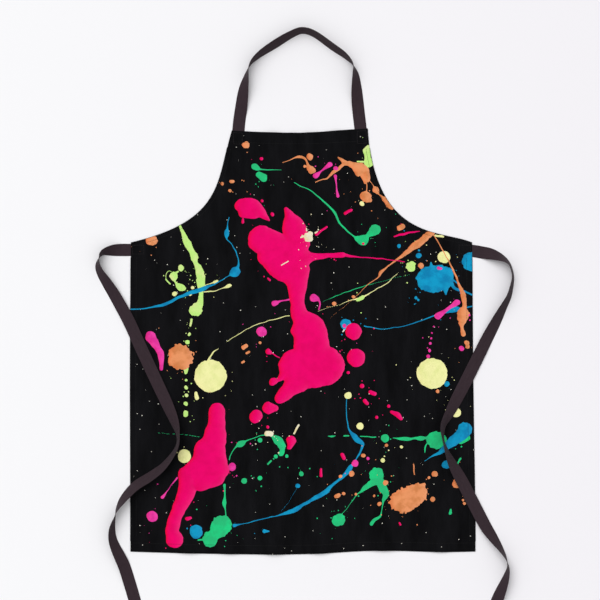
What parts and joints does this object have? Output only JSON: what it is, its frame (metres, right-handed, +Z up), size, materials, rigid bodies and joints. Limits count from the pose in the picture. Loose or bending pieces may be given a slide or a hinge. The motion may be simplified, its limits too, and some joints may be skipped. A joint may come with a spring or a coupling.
{
  "type": "artist smock apron",
  "caption": "Bib apron of printed cloth with turned and stitched edges, a twill tape neck strap and two twill tape waist ties, laid flat.",
  "frame": {"origin": "middle of the apron's body where it rests on the surface: centred across and along the body, at the lowest point of its hems", "axes": "+Z up out of the printed front, +Y from the bottom hem towards the neck strap, +X to the right of someone looking at the front"},
  "size_m": [0.8545, 1.2567, 0.0267],
  "materials": {
    "printed_cloth": "matte woven polyester, black ground with bright paint splatter print on its face",
    "cloth_reverse": "matte unprinted reverse of the same cloth",
    "twill_tape": "matte dark aubergine twill weave cotton tape",
    "sewing_thread": "black polyester thread, slight sheen",
    "tape_thread": "dark aubergine polyester thread, slight sheen"
  },
  "bodies": {
    "apron": {"front_panel": "printed_cloth", "top_hem": "cloth_reverse", "bottom_hem": "cloth_reverse", "left_side_hem": "cloth_reverse", "right_side_hem": "cloth_reverse", "left_armhole_binding": "cloth_reverse", "right_armhole_binding": "cloth_reverse", "top_hem_stitching": "sewing_thread", "bottom_hem_stitching": "sewing_thread", "left_side_stitching": "sewing_thread", "right_side_stitching": "sewing_thread", "left_armhole_stitching": "sewing_thread", "right_armhole_stitching": "sewing_thread", "neck_strap_left_end": "twill_tape", "neck_strap_right_end": "twill_tape", "neck_strap_left_box_stitch": "sewing_thread", "neck_strap_right_box_stitch": "sewing_thread", "left_tie_sewn_end": "twill_tape", "right_tie_sewn_end": "twill_tape", "left_tie_box_stitch": "sewing_thread", "right_tie_box_stitch": "sewing_thread"},
    "neck_loop": {"neck_strap": "twill_tape"},
    "left_tie": {"left_waist_tie": "twill_tape", "left_tie_end_hem": "twill_tape", "left_tie_end_stitch": "tape_thread"},
    "right_tie": {"right_waist_tie": "twill_tape", "right_tie_end_hem": "twill_tape", "right_tie_end_stitch": "tape_thread"}
  },
  "joints": [
    {"name": "neck_loop_fold", "type": "hinge", "parent": "apron", "child": "neck_loop", "pos_m": [0, 0.438, 0.00115], "axis": [1, 0, 0], "range_deg": [0, 160]},
    {"name": "left_tie_swing", "type": "hinge", "parent": "apron", "child": "left_tie", "pos_m": [-0.409, 0.174, 0.0125], "axis": [0, 0, -1], "range_deg": [0, 70]},
    {"name": "right_tie_swing", "type": "hinge", "parent": "apron", "child": "right_tie", "pos_m": [0.423, 0.164, 0.0125], "axis": [0, 0, 1], "range_deg": [0, 70]}
  ]
}
